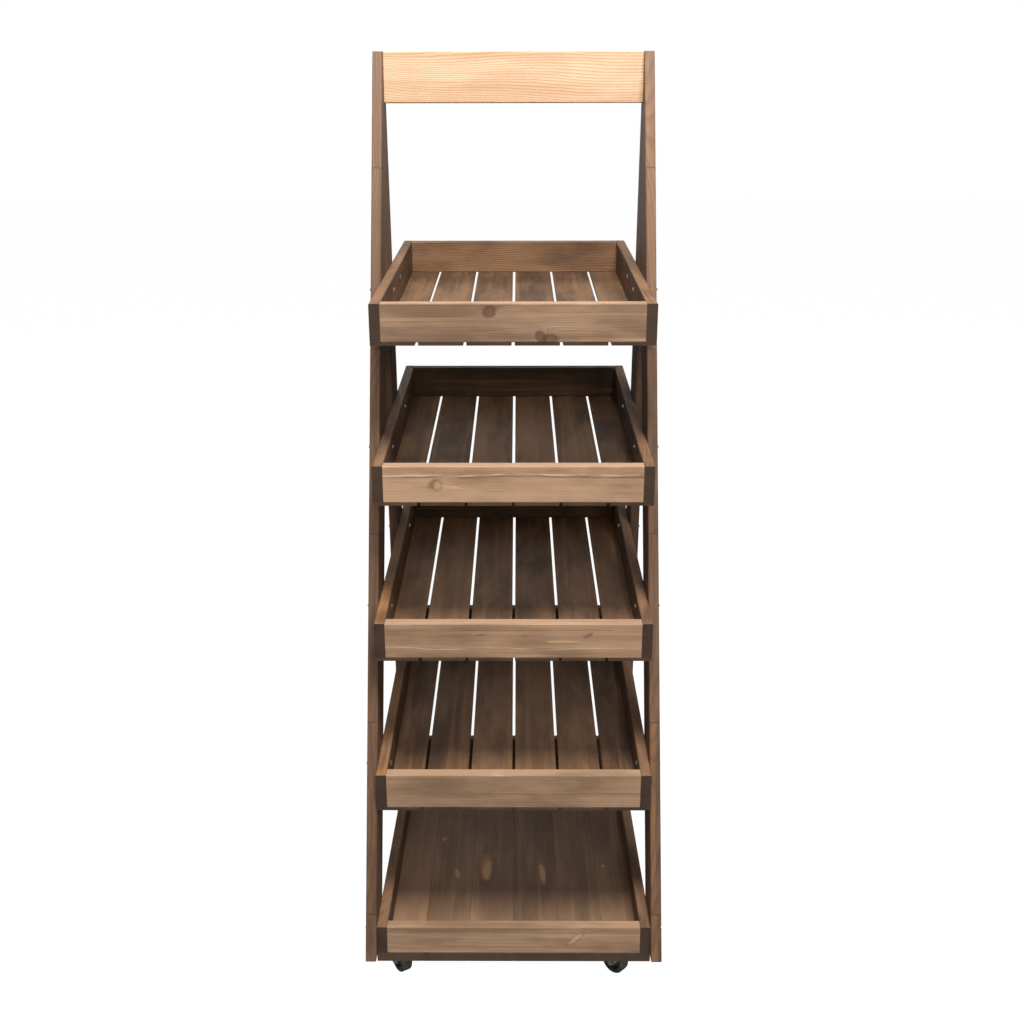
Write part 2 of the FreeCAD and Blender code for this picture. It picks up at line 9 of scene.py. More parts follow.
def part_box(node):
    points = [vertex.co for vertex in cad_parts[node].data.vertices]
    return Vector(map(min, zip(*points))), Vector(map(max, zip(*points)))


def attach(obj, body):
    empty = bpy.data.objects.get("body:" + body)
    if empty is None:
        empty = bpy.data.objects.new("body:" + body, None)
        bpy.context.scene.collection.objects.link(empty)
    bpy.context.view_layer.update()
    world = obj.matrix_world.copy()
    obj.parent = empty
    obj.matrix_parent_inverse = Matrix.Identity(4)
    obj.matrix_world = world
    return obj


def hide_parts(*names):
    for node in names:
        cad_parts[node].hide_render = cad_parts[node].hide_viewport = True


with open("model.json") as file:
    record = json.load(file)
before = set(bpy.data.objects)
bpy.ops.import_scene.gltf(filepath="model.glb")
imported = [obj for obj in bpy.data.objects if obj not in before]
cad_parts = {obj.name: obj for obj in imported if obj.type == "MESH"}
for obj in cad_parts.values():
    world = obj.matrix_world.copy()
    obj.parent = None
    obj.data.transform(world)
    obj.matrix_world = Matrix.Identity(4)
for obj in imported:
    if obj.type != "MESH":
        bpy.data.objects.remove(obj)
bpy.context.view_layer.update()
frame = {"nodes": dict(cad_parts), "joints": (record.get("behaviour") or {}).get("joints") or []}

# A timber flower stand: stained pine boards in five trays on two A-frames, with a pale header board and
# four castors. Everything is in metres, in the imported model's own frame: +Z up, the front towards -Y.
NODES = frame["nodes"]

# The camera, as the photograph was taken: standing in front, looking down a little.
CAMERA_PLACE = Vector((0.0081, -2.4141, 1.5665))
CAMERA_PITCH = math.radians(14.22)
CAMERA_YAW = -0.0049
CAMERA_ROLL = -0.0015
SENSOR_WIDTH = 36.0
FRAME_PIXELS = 1024
FOCAL_PIXELS = 1196.6
CENTRE_ROW = 455.0           # the row of the photograph that the lens points at

TRAY_NAMES = ["tray1", "tray2", "tray3", "tray4", "tray5"]
SLATTED_TRAYS = TRAY_NAMES[:-1]
BASE_NAME = TRAY_NAMES[-1]
CASTOR_NAMES = ["front_left", "front_right", "rear_left", "rear_right"]
SIDE_SIGNS = {"left": -1, "right": 1}
LEG_LEANS = {"front": 0.3107, "rear": -0.1361}     # from upright, towards the back, in radians
SLAT_COUNT = 6
SLAT_PITCH = 0.0876
BASE_BOARD_COUNT = 6

X = (1, 0, 0)
Y = (0, 1, 0)
Z = (0, 0, 1)


def srgb(red, green, blue):
    """A colour as it looks on a screen, 0 to 255, in the linear form that shaders take."""
    linear = []
    for part in (red, green, blue):
        level = part / 255
        linear.append(level / 12.92 if level <= 0.04045 else ((level + 0.055) / 1.055) ** 2.4)
    return (*linear, 1.0)


def corner_box(node):
    """The lowest and highest corner of a CAD node, as vectors."""
    low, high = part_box(node)
    return Vector(low), Vector(high)


# ---------------------------------------------------------------- shader maths


class Level:
    """What a socket gives, mostly a number that varies over a surface. Arithmetic adds Math nodes."""

    def __init__(self, graph, socket):
        self.graph = graph
        self.socket = socket

    def math(self, operation, *others):
        values = dict(enumerate((self, *others)))
        return self.graph.node("ShaderNodeMath", {"operation": operation}, values)

    def __add__(self, other):
        return self.math("ADD", other)

    __radd__ = __add__

    def __sub__(self, other):
        return self.math("SUBTRACT", other)

    def __rsub__(self, other):
        return self.graph.node("ShaderNodeMath", {"operation": "SUBTRACT"}, {0: other, 1: self})

    def __mul__(self, other):
        return self.math("MULTIPLY", other)

    __rmul__ = __mul__

    def __truediv__(self, other):
        return self.math("DIVIDE", other)

    def __pow__(self, other):
        return self.math("POWER", other)

    def between(self, low, high):
        """0 at low or before it, 1 at high or past it, smooth in between."""
        settings = {"interpolation_type": "SMOOTHSTEP"}
        return self.graph.node("ShaderNodeMapRange", settings, {0: self, 1: low, 2: high, 3: 0.0, 4: 1.0})


class Graph:
    """A node tree that starts empty."""

    def __init__(self, tree):
        self.tree = tree
        self.tree.nodes.clear()

    def fill(self, socket, value):
        """Link a Level to a socket, or set the socket to a constant."""
        if isinstance(value, Level):
            self.tree.links.new(value.socket, socket)
        else:
            socket.default_value = value

    def node(self, kind, settings=None, inputs=None, output=0):
        made = self.tree.nodes.new(kind)
        for name, value in (settings or {}).items():
            setattr(made, name, value)
        for key, value in (inputs or {}).items():
            self.fill(made.inputs[key], value)
        return Level(self, made.outputs[output])

    def ray(self, kind):
        """1 for rays of one kind, such as Is Camera Ray, and 0 for others."""
        return self.node("ShaderNodeLightPath", output=kind)

    def blend(self, factor, first, second):
        """One shader fading into another."""
        return self.node("ShaderNodeMixShader", None, {0: factor, 1: first, 2: second})

    def show(self, shader, output_kind="ShaderNodeOutputMaterial"):
        """End the tree with this shader."""
        output = self.tree.nodes.new(output_kind)
        self.tree.links.new(shader.socket, output.inputs["Surface"])


class Finish(Graph):
    """A procedural material under one Principled shader."""

    def __init__(self, name, roughness, metallic=0.0):
        self.material = bpy.data.materials.new(name)
        self.material.use_nodes = True
        super().__init__(self.material.node_tree)
        self.shader = self.tree.nodes.new("ShaderNodeBsdfPrincipled")
        self.show(Level(self, self.shader.outputs[0]))
        self.set("Roughness", roughness)
        self.set("Metallic", metallic)

    def set(self, name, value):
        self.fill(self.shader.inputs[name], value)

    def place(self):
        return self.node("ShaderNodeTexCoord", output="Object")

    def facing(self):
        return self.node("ShaderNodeTexCoord", output="Normal")

    def dot(self, vector, direction):
        inputs = {0: vector, 1: tuple(direction)}
        return self.node("ShaderNodeVectorMath", {"operation": "DOT_PRODUCT"}, inputs, output="Value")

    def vector(self, x, y, z):
        return self.node("ShaderNodeCombineXYZ", None, {0: x, 1: y, 2: z})

    def noise(self, vector, scale=1.0, detail=2.0, roughness=0.5):
        inputs = {"Vector": vector, "Scale": scale, "Detail": detail, "Roughness": roughness}
        return self.node("ShaderNodeTexNoise", None, inputs)

    def mix(self, share, colour, other):
        """A colour with a share of another over it."""
        return self.node("ShaderNodeMix", {"data_type": "RGBA"}, {0: share, 6: colour, 7: other}, output=2)

    def bump(self, height, strength, distance):
        inputs = {"Strength": strength, "Distance": distance, "Height": height}
        self.set("Normal", self.node("ShaderNodeBump", None, inputs))


# ---------------------------------------------------------------- timber


END_GRAIN = srgb(46, 32, 23)

# How many times a metre each pattern in the wood repeats along the board, and across it.
DRIFT = (2.0, 9.0)           # the slow wander of the rings
WAVER = (9.0, 30.0)          # their small waves
FIBRE = (14.0, 900.0)
BLOTCH = (5.0, 16.0)         # where the stain sank in
AMBER_STREAK = (1.8, 60.0)
DARK_STREAK = (1.1, 130.0)
WORN_EDGE = (7.0, 20.0)
WAVY_LINE = (9.0, 50.0)
LINE_BREAK = (14.0, 90.0)
KNOT_OUTLINE = (70.0, 70.0)

RING_SWING = 0.07            # how far the rings wander in a board whose straightness is 1
WAVER_SHARE = 0.07           # the small waves' part of that
RING_SLOPE = 0.01            # how far the rings run out of line with the board
RING_FLATNESS = 0.3          # under 1, the rings are wider through the board than across it
KNOT_REACH = 3.2             # how far round a knot the rings bend, in knots
LUCK_SHIFT = 9.0             # how far apart the patterns of neighbouring strips or lengths lie
SEED_SHIFT = 1.7
LUCK_TONE = 0.75             # how much darker a strip or length with all the luck is than one with none
TEETH = 95.0                 # finger joint teeth to the metre
ZIGZAG = 0.02                # twice the depth of a tooth


class Board:
    """How one board was cut and stained, with sizes in metres."""

    def __init__(self, along, across, light, dark, line, seed):
        self.along = Vector(along).normalized()
        self.across = Vector(across).normalized()
        self.through = self.along.cross(self.across)
        self.light = light           # the stain where the wood took least
        self.dark = dark             # the stain where it took most
        self.line = line             # the hard winter rings
        self.seed = seed
        self.amber = light           # streaks where the wood glows through the stain
        self.amber_share = 0.0
        self.end_grain = END_GRAIN
        self.ring_gap = 0.0042
        self.line_share = 0.5
        self.blotch_share = 0.8
        self.streak_share = 0.45     # fine darker streaks along the grain
        self.roughness = 0.62
        self.straight = 1.0          # how straight the rings run, more is straighter
        self.knots = []              # (along, across, half length, half width, turn, kind)
        self.figures = []            # single wavy lines: (place across, half width, swing, colour, share)
        self.strips = None           # (first edge, pitch) where one node holds boards side by side
        self.joints = None           # (place of one joint, pitch) of finger joints along the board
        self.edge = light            # the colour of upward edges
        self.edge_share = 0.0
        self.fade = None             # (from, to, colour): painted light, a lighter tone towards one end of the board where more light falls


# Knot kinds: the colour at the heart, the colour of the rim, and how strongly each shows.
DARK_KNOT = (srgb(92, 58, 42), srgb(60, 40, 30), 0.75, 0.6)
PALE_KNOT = (srgb(184, 148, 108), srgb(96, 70, 52), 0.6, 0.3)
AMBER_KNOT = (srgb(158, 106, 66), srgb(84, 58, 42), 0.55, 0.35)
SHADE = (srgb(104, 74, 52), srgb(104, 74, 52), 0.6, 0.0)
PALE_STREAK = (srgb(190, 154, 112), srgb(150, 112, 78), 0.7, 0.0)


class Wood:
    """Planed and stained pine, worked out from where a place lies along, across and through its board."""

    def __init__(self, name, board):
        self.board = board
        self.finish = Finish(name, roughness=board.roughness)
        place = self.finish.place()
        self.along = self.finish.dot(place, board.along)
        self.across = self.finish.dot(place, board.across)
        self.through = self.finish.dot(place, board.through)
        self.own_across = self.across    # counted within a strip, where the node has strips
        self.luck = None                 # a number that each strip or jointed length has of its own
        self.seam = None                 # where a place lies from one finger joint to the next, 0 to 1
        if board.strips:
            first, pitch = board.strips
            strip = ((self.across - first) / pitch).math("FLOOR")
            self.luck = self.luck_of(strip)
            self.own_across = self.across - strip * pitch
        elif board.joints:
            first, pitch = board.joints
            zigzag = (self.across * TEETH).math("PINGPONG", 0.5) * ZIGZAG
            length = (self.along - first + zigzag) / pitch
            self.luck = self.luck_of(length.math("FLOOR"))
            self.seam = length.math("FRACT")
        self.shift = self.luck * LUCK_SHIFT if self.luck else board.seed * SEED_SHIFT

    def luck_of(self, number):
        settings = {"noise_dimensions": "1D"}
        return self.finish.node("ShaderNodeTexWhiteNoise", settings, {"W": number + self.board.seed})

    def pattern(self, repeats, shift, across, seed=0.0, straight=1.0, detail=2.0, roughness=0.5):
        """Noise that is drawn out along the board."""
        lengthwise, crosswise = repeats
        run = self.along * (lengthwise / straight) + shift
        place = self.finish.vector(run, across * crosswise, self.through * crosswise + seed)
        return self.finish.noise(place, detail=detail, roughness=roughness)

    def line_pattern(self, repeats, place_across, detail=2.0):
        """Noise that only changes along the board, and is its own for each wavy line."""
        lengthwise, crosswise = repeats
        place = self.finish.vector(self.along * lengthwise, place_across * crosswise, self.board.seed)
        return self.finish.noise(place, detail=detail)

    def knot_distance(self, knot):
        """How far a place is from a knot's heart, 1 at its rim, with an uneven outline."""
        heart_along, heart_across, half_length, half_width, turn, _ = knot
        past = self.along - heart_along
        aside = self.across - heart_across
        run = past * math.cos(turn) + aside * math.sin(turn)
        side = aside * math.cos(turn) - past * math.sin(turn)
        lengthwise, crosswise = KNOT_OUTLINE
        spot = self.finish.vector(self.along * lengthwise, self.across * crosswise, heart_along * 90.0)
        uneven = self.finish.noise(spot) - 0.5
        return ((run / half_length) ** 2 + (side / half_width) ** 2) ** 0.5 + uneven * 0.7

    def winter_rings(self, distances):
        """The hard dark lines of the growth rings, which bend round the knots."""
        board = self.board
        luck = board.seed * 0.618 % 1.0
        bend = 0.0
        for distance, knot in zip(distances, board.knots):
            half_width = knot[3]
            bend = (1 - distance.between(0.6, KNOT_REACH)) * (half_width * 0.9) + bend
        aside = self.own_across - (0.02 + 0.05 * luck) + bend
        behind = self.through + (0.035 + 0.03 * luck)
        radius = (aside * aside + behind * behind * RING_FLATNESS) ** 0.5
        look = {"seed": board.seed, "straight": board.straight}
        drift = self.pattern(DRIFT, self.shift, self.own_across, detail=1.0, **look)
        waver = self.pattern(WAVER, self.shift, self.own_across, **look)
        swing = RING_SWING / board.straight
        wandering = radius + drift * swing + waver * (swing * WAVER_SHARE) + self.along * RING_SLOPE
        ring = (wandering / board.ring_gap + self.shift).math("FRACT")
        return ring.between(0.35, 0.86) * (1 - ring.between(0.9, 1.0))

    def stain(self):
        """The blotchy stain, with amber streaks and fine dark ones, and the painted light along a leg."""
        board = self.board
        finish = self.finish
        blotch = self.pattern(BLOTCH, self.shift, self.across, seed=board.seed, detail=3.0, roughness=0.6)
        depth = blotch.between(0.34, 0.68) * board.blotch_share
        if self.luck:
            depth = (depth + self.luck * LUCK_TONE - LUCK_TONE / 3).math("MAXIMUM", 0.0).math("MINIMUM", 1.0)
        colour = finish.mix(depth, board.light, board.dark)
        # Painted light: a lighter tone towards the top of a leg, where the light from above falls.
        if board.fade:
            begin, end, tone = board.fade
            colour = finish.mix(self.along.between(begin, end), colour, tone)
        amber = self.pattern(AMBER_STREAK, self.shift, self.across, seed=board.seed, detail=3.0)
        colour = finish.mix(amber.between(0.5, 0.72) * board.amber_share, colour, board.amber)
        dark = self.pattern(DARK_STREAK, self.shift * -1, self.across, seed=board.seed)
        return finish.mix(dark.between(0.52, 0.75) * board.streak_share, colour, board.dark)

    def add_figure(self, colour, figure):
        """Draw one wavy line along the grain, broken here and there: a grain line, a painted highlight on
        raised grain, or the painted shade under it.
        """
        place_across, half_width, swing, tone, share = figure
        wave = self.line_pattern(WAVY_LINE, place_across, detail=3.0) - 0.5
        off = (self.across - place_across + wave * swing).math("ABSOLUTE")
        whole = self.line_pattern(LINE_BREAK, place_across).between(0.35, 0.55)
        line = 1 - off.between(half_width * 0.3, half_width)
        return self.finish.mix(line * whole * share, colour, tone)

    def add_knot(self, colour, distance, kind):
        heart, rim, heart_share, rim_share = kind
        inside = 1 - distance.between(0.5, 1.15)
        ring = distance.between(0.5, 0.95) * (1 - distance.between(0.95, 1.5))
        colour = self.finish.mix(inside * heart_share, colour, heart)
        return self.finish.mix(ring * rim_share, colour, rim)

    def add_ends_and_edges(self, colour):
        """Darken the end grain, colour the upward edges, and draw the glue lines of finger joints."""
        board = self.board
        finish = self.finish
        normal = finish.facing()
        end_face = finish.dot(normal, board.along).math("ABSOLUTE").between(0.75, 0.9)
        colour = finish.mix(end_face * 0.85, colour, board.end_grain)
        if board.edge_share:
            worn = self.pattern(WORN_EDGE, board.seed, self.across, detail=3.0)
            upward = finish.dot(normal, Z).between(0.6, 0.95) * (1 - worn.between(0.42, 0.62) * 0.75)
            colour = finish.mix(upward * board.edge_share, colour, board.edge)
        if self.seam:
            glue = 1 - self.seam.math("PINGPONG", 0.5).between(0.0012, 0.004)
            colour = finish.mix(glue * 0.7, colour, board.end_grain)
        return colour

    def make(self):
        board = self.board
        finish = self.finish
        distances = [self.knot_distance(knot) for knot in board.knots]
        winter = self.winter_rings(distances)
        fibre = self.pattern(FIBRE, self.shift, self.across)
        colour = finish.mix(winter * board.line_share, self.stain(), board.line)
        colour = finish.mix(fibre.between(0.45, 0.75) * (board.streak_share * 0.6), colour, board.dark)
        for figure in board.figures:
            colour = self.add_figure(colour, figure)
        for distance, knot in zip(distances, board.knots):
            colour = self.add_knot(colour, distance, knot[5])
        finish.set("Base Color", self.add_ends_and_edges(colour))
        finish.set("Roughness", board.roughness + fibre * 0.12 - winter * 0.08)
        finish.set("Specular IOR Level", 0.3)
        finish.bump(fibre * 0.5 + winter * 0.5, 0.35, 0.0006)
        return finish.material


def wear(node, material):
    """Give a CAD node its finish."""
    piece = NODES[node]
    if not piece.material_slots:
        piece.data.materials.append(material)
    for slot in piece.material_slots:
        slot.material = material


def wear_wood(node, board):
    wear(node, Wood(node, board).make())


# ---------------------------------------------------------------- other finishes


def bright_steel():
    finish = Finish("bright_steel", roughness=0.22, metallic=1.0)
    marks = finish.noise(finish.place(), 900.0, detail=2.0)
    finish.set("Base Color", finish.mix(marks.between(0.3, 0.8), srgb(226, 224, 220), srgb(190, 188, 184)))
    finish.set("Roughness", 0.18 + marks * 0.15)
    return finish.material


def zinc():
    finish = Finish("zinc_plate", roughness=0.4, metallic=1.0)
    place = finish.place()
    cloud = finish.noise(place, 160.0, detail=3.0)
    grit = finish.noise(place, 1500.0, detail=2.0)
    colour = finish.mix(cloud.between(0.35, 0.7), srgb(176, 178, 180), srgb(128, 130, 134))
    finish.set("Base Color", finish.mix(grit.between(0.62, 0.75) * 0.5, colour, srgb(90, 84, 76)))
    finish.set("Roughness", 0.32 + cloud * 0.25)
    finish.bump(grit, 0.1, 0.0002)
    return finish.material


def tyre_rubber():
    finish = Finish("tyre_rubber", roughness=0.55)
    place = finish.place()
    dust = finish.noise(place, 140.0, detail=4.0, roughness=0.65)
    grit = finish.noise(place, 1800.0, detail=2.0)
    finish.set("Base Color", finish.mix(dust.between(0.4, 0.72), srgb(38, 40, 40), srgb(88, 92, 88)))
    finish.set("Roughness", 0.4 + dust * 0.35)
    finish.bump(grit, 0.2, 0.0003)
    return finish.material


def wheel_plastic():
    finish = Finish("wheel_plastic", roughness=0.42)
    place = finish.place()
    grain = finish.noise(place, 2200.0, detail=1.0)
    scuff = finish.noise(place, 90.0, detail=4.0, roughness=0.7)
    finish.set("Base Color", finish.mix(scuff.between(0.5, 0.75) * 0.7, srgb(44, 45, 46), srgb(96, 96, 94)))
    finish.set("Roughness", 0.36 + scuff * 0.2)
    finish.bump(grain, 0.15, 0.0002)
    return finish.material


# ---------------------------------------------------------------- this stand's boards


FRONT_LIGHT = srgb(168, 136, 108)
FRONT_DARK = srgb(120, 92, 68)
FRONT_LINE = srgb(108, 78, 56)
FRONT_EDGE = srgb(164, 131, 103)
FRONT_AMBER = srgb(186, 152, 120)
FIGURE_DARK = srgb(88, 62, 46)
# Painted highlight along a ridge of raised grain, on the front boards
RAISED_GRAIN_HIGHLIGHT = srgb(206, 172, 142)
LEG_LIGHT = srgb(108, 80, 58)
LEG_DARK = srgb(76, 54, 38)
LEG_LINE = srgb(66, 44, 30)
# Painted light: the colour of a leg's upper part, lit from above
LEG_TOP_PAINTED_LIGHT = srgb(116, 88, 66)
INSIDE_LIGHT = srgb(122, 92, 66)
INSIDE_DARK = srgb(70, 51, 36)
INSIDE_LINE = srgb(50, 32, 22)
AMBER = srgb(156, 112, 74)
SIDE_EDGE = srgb(128, 95, 68)
TAN_EDGE = srgb(156, 110, 68)
HEADER_LIGHT = srgb(208, 176, 144)
HEADER_DARK = srgb(184, 146, 112)
HEADER_LINE = srgb(142, 98, 64)
HEADER_AMBER = srgb(170, 124, 84)
BASE_FLOOR_LIGHT = srgb(142, 110, 84)
BASE_FLOOR_DARK = srgb(92, 70, 53)
BASE_FLOOR_AMBER = srgb(170, 130, 96)
DOWEL_LIGHT = srgb(214, 178, 134)
DOWEL_DARK = srgb(190, 150, 108)
DOWEL_LINE = srgb(160, 118, 80)

# How light each tray's front board is, next to those colours. The back boards' and slats' tones are painted
# light and shade.
FRONT_TONES = {"tray1": 0.74, "tray2": 1.14, "tray3": 0.94, "tray4": 0.9, "tray5": 0.79}
# Painted light and shade on the back boards: the top tray's lighter where the overhead light falls on it,
# the lower trays' darker in the shade of the tray above.
INSIDE_PAINTED_LIGHT = {"tray1": 1.75, "tray2": 0.55, "tray3": 0.7, "tray4": 0.8, "tray5": 0.95}
# Painted light on the slats: the lower trays' slats lighter than the top tray's, standing in for light that
# the tray above keeps off them.
SLAT_PAINTED_LIGHT = {"tray1": 0.9, "tray2": 1.5, "tray3": 1.5, "tray4": 1.55}
TAN_SIDES = [("tray3", "left"), ("tray4", "left")]     # the side boards whose top edges are tan

# Each board's grain is its own, so each kind of board has its seeds from here on.
LEG_SEED = 3.0
HEADER_SEED = 6.0
FRONT_SEED = 11.0
BACK_SEED = 12.0
SIDE_SEED = 31.0
SLAT_SEED = 51.0
BASE_FLOOR_SEED = 71.0
DOWEL_SEED = 81.0

JOINT_PITCH = 0.36           # finger joints along the legs
FIRST_JOINT = 0.234          # from the top of a leg
PAINTED_LIGHT_BEGIN = 0.75            # the place where a leg's painted light starts, from its top, growing towards the top
PAINTED_LIGHT_END = 0.1
STRIP_MARGIN = 0.003         # how far outside the first slat the strips of the slats' pattern begin


def toned(colour, share):
    """A colour made lighter or darker."""
    return (*(min(part * share, 1.0) for part in colour[:3]), 1.0)


def tray_tilt(tray):
    """The lean of a tray's side boards, which from the side differ from its front board in length alone."""
    low, high = corner_box(f"{tray}_left_side")
    board_low, board_high = corner_box(f"{tray}_front_board")
    rise = (high.z - low.z) - (board_high.z - board_low.z)
    return math.atan2(rise, (high.y - low.y) - (board_high.y - board_low.y))


def tray_directions(tray):
    """Along a tray's side boards, and square to its floor."""
    tilt = tray_tilt(tray)
    return Vector((0, math.cos(tilt), math.sin(tilt))), Vector((0, -math.sin(tilt), math.cos(tilt)))


def finish_legs():
    legs = [(side, part) for side in SIDE_SIGNS for part in LEG_LEANS]
    for index, (side, part) in enumerate(legs):
        node = f"{side}_{part}_leg"
        low, high = corner_box(node)
        lean = LEG_LEANS[part]
        along = Vector((0, math.sin(lean), math.cos(lean)))
        across = Vector((0, math.cos(lean), -math.sin(lean)))
        top = Vector((0, high.y if part == "front" else low.y, high.z)).dot(along)
        board = Board(along, across, LEG_LIGHT, LEG_DARK, LEG_LINE, LEG_SEED + 2 * index)
        board.joints = (top - FIRST_JOINT, JOINT_PITCH)
        # painted light on the leg's upper part
        board.fade = (top - PAINTED_LIGHT_BEGIN, top - PAINTED_LIGHT_END, LEG_TOP_PAINTED_LIGHT)
        board.amber = AMBER
        board.amber_share = 0.3
        board.line_share = 0.4
        wear_wood(node, board)


def finish_header():
    board = Board(X, Z, HEADER_LIGHT, HEADER_DARK, HEADER_LINE, HEADER_SEED)
    board.end_grain = HEADER_DARK
    board.ring_gap = 0.005
    board.streak_share = 0.6
    board.amber = HEADER_AMBER
    board.amber_share = 0.35
    board.blotch_share = 0.6
    board.roughness = 0.5
    wear_wood("header_board", board)


def front_foot(tray, upright):
    """Where the lower edge of a tray's front board lies, counted square to the tray's floor."""
    low, _ = corner_box(f"{tray}_front_board")
    return Vector((0, low.y, low.z)).dot(upright)


def front_knots(tray, foot):
    """Knots of a front board, as places along the board and above its lower edge."""
    spots = {
        "tray1": [
            (-0.042, 0.063, 0.026, 0.006, 0.05, SHADE),
            (-0.043, 0.056, 0.011, 0.009, 0.3, DARK_KNOT),
            (0.050, 0.010, 0.008, 0.010, 0.5, DARK_KNOT),
            (0.068, 0.006, 0.012, 0.008, 0.0, DARK_KNOT),
        ],
        "tray2": [
            (-0.146, 0.036, 0.014, 0.009, 0.4, SHADE),
            (-0.118, 0.031, 0.022, 0.0035, -0.12, PALE_STREAK),
            (-0.140, 0.034, 0.009, 0.010, 0.0, PALE_KNOT),
        ],
        "tray3": [
            (-0.060, 0.048, 0.012, 0.002, 0.0, SHADE),
            (0.020, 0.046, 0.010, 0.0016, 0.0, SHADE),
            (0.140, 0.046, 0.012, 0.005, 0.5, SHADE),
            (0.090, 0.034, 0.040, 0.0024, 0.0, PALE_STREAK),
        ],
        "tray4": [(-0.031, 0.0715, 0.014, 0.003, 0.0, PALE_STREAK)],
        "tray5": [(0.118, 0.032, 0.021, 0.0055, 0.75, PALE_KNOT)],
    }
    return [(x, foot + rise, length, width, turn, kind)
            for x, rise, length, width, turn, kind in spots[tray]]


def front_figures(tray, foot):
    """Single strong lines along the grain of a front board, above its lower edge. The pale lines are painted
    highlights on raised grain, and the second tray's dark line just under its pale one is painted shade
    below that ridge.
    """
    lines = {
        "tray1": [
            (0.008, 0.014, 0.003, FIGURE_DARK, 0.32),
            (0.021, 0.0014, 0.003, FIGURE_DARK, 0.4),
            (0.069, 0.003, 0.004, FIGURE_DARK, 0.35),
        ],
        # painted highlight on a ridge of raised grain, with painted shade just under it
        "tray2": [(0.054, 0.0022, 0.012, RAISED_GRAIN_HIGHLIGHT, 0.7), (0.050, 0.0022, 0.012, FIGURE_DARK, 0.55)],
        "tray3": [(0.057, 0.0016, 0.006, FIGURE_DARK, 0.4), (0.020, 0.0016, 0.014, RAISED_GRAIN_HIGHLIGHT, 0.5)],
        "tray4": [(0.030, 0.0018, 0.010, FIGURE_DARK, 0.35)],
        "tray5": [(0.014, 0.0016, 0.008, FIGURE_DARK, 0.35)],
    }
    return [(foot + rise, half_width, swing, tone, share)
            for rise, half_width, swing, tone, share in lines[tray]]


def finish_front_board(tray, seed):
    tone = FRONT_TONES[tray]
    _, upright = tray_directions(tray)
    board = Board(X, upright, toned(FRONT_LIGHT, tone), toned(FRONT_DARK, tone), FRONT_LINE, seed)
    board.edge = FRONT_EDGE
    board.edge_share = 0.85
    board.amber = FRONT_AMBER
    board.amber_share = 0.5
    board.straight = 1.6
    board.line_share = 0.22
    board.streak_share = 0.35
    foot = front_foot(tray, upright)
    board.knots = front_knots(tray, foot)
    board.figures = front_figures(tray, foot)
    wear_wood(f"{tray}_front_board", board)


def finish_back_board(tray, seed):
    # tone is painted light and shade on the back board
    tone = INSIDE_PAINTED_LIGHT[tray]
    _, upright = tray_directions(tray)
    board = Board(X, upright, toned(INSIDE_LIGHT, tone), toned(INSIDE_DARK, tone), INSIDE_LINE, seed)
    board.edge = SIDE_EDGE
    board.edge_share = 0.3
    board.amber = AMBER
    board.amber_share = 0.45
    wear_wood(f"{tray}_back_board", board)


def finish_side_boards(tray, first_seed):
    along, upright = tray_directions(tray)
    for offset, side in enumerate(SIDE_SIGNS):
        board = Board(along, upright, INSIDE_LIGHT, INSIDE_DARK, INSIDE_LINE, first_seed + offset)
        board.edge = TAN_EDGE if (tray, side) in TAN_SIDES else SIDE_EDGE
        board.edge_share = 0.75
        board.amber = AMBER
        board.amber_share = 0.3
        wear_wood(f"{tray}_{side}_side", board)


def finish_slats(tray, seed):
    along, _ = tray_directions(tray)
    low, _ = corner_box(f"{tray}_slats")
    # tone is painted light on the slats and on their amber streaks
    tone = SLAT_PAINTED_LIGHT[tray]
    board = Board(along, X, toned(INSIDE_LIGHT, tone), toned(INSIDE_DARK, tone), INSIDE_LINE, seed)
    board.straight = 3.0
    board.line_share = 0.14
    board.streak_share = 0.2
    board.blotch_share = 0.7
    board.strips = (low.x - STRIP_MARGIN, SLAT_PITCH)
    board.amber = toned(AMBER, tone)
    board.amber_share = 0.3
    wear_wood(f"{tray}_slats", board)


def finish_base_floor():
    node = f"{BASE_NAME}_floor_boards"
    low, high = corner_box(node)
    board = Board(Y, X, BASE_FLOOR_LIGHT, BASE_FLOOR_DARK, INSIDE_LINE, BASE_FLOOR_SEED)
    board.amber = BASE_FLOOR_AMBER
    board.amber_share = 0.4
    board.straight = 2.5
    board.line_share = 0.16
    board.streak_share = 0.2
    board.blotch_share = 0.45
    board.strips = (low.x, (high.x - low.x) / BASE_BOARD_COUNT)
    board.knots = [
        (-0.149, -0.059, 0.060, 0.016, 0.0, AMBER_KNOT),
        (-0.165, -0.057, 0.040, 0.011, 0.0, PALE_STREAK),
        (-0.175, 0.060, 0.040, 0.007, -0.06, PALE_STREAK),
        (-0.175, -0.120, 0.024, 0.007, -0.1, PALE_KNOT),
        (-0.045, -0.155, 0.010, 0.007, 0.0, PALE_KNOT),
        (-0.149, 0.190, 0.009, 0.007, 0.0, PALE_KNOT),
    ]
    wear_wood(node, board)


def finish_trays():
    for index, tray in enumerate(TRAY_NAMES):
        finish_front_board(tray, FRONT_SEED + 3 * index)
        finish_back_board(tray, BACK_SEED + 3 * index)
        finish_side_boards(tray, SIDE_SEED + 4 * index)
    for index, tray in enumerate(SLATTED_TRAYS):
        finish_slats(tray, SLAT_SEED + 2 * index)
    finish_base_floor()


def finish_dowels():
    wear_wood("apex_dowels", Board(Y, Z, DOWEL_LIGHT, DOWEL_DARK, DOWEL_LINE, DOWEL_SEED))


def finish_hardware(plate):
    wear("tray_bolts", bright_steel())
    for node in ("tray_washers", "tray_nuts", "header_screws", "castor_kingpins", "castor_screws"):
        wear(node, plate)
    for name in CASTOR_NAMES:
        for part in ("plate", "fork", "axle"):
            wear(f"castor_{name}_{part}", plate)


# ---------------------------------------------------------------- new pieces


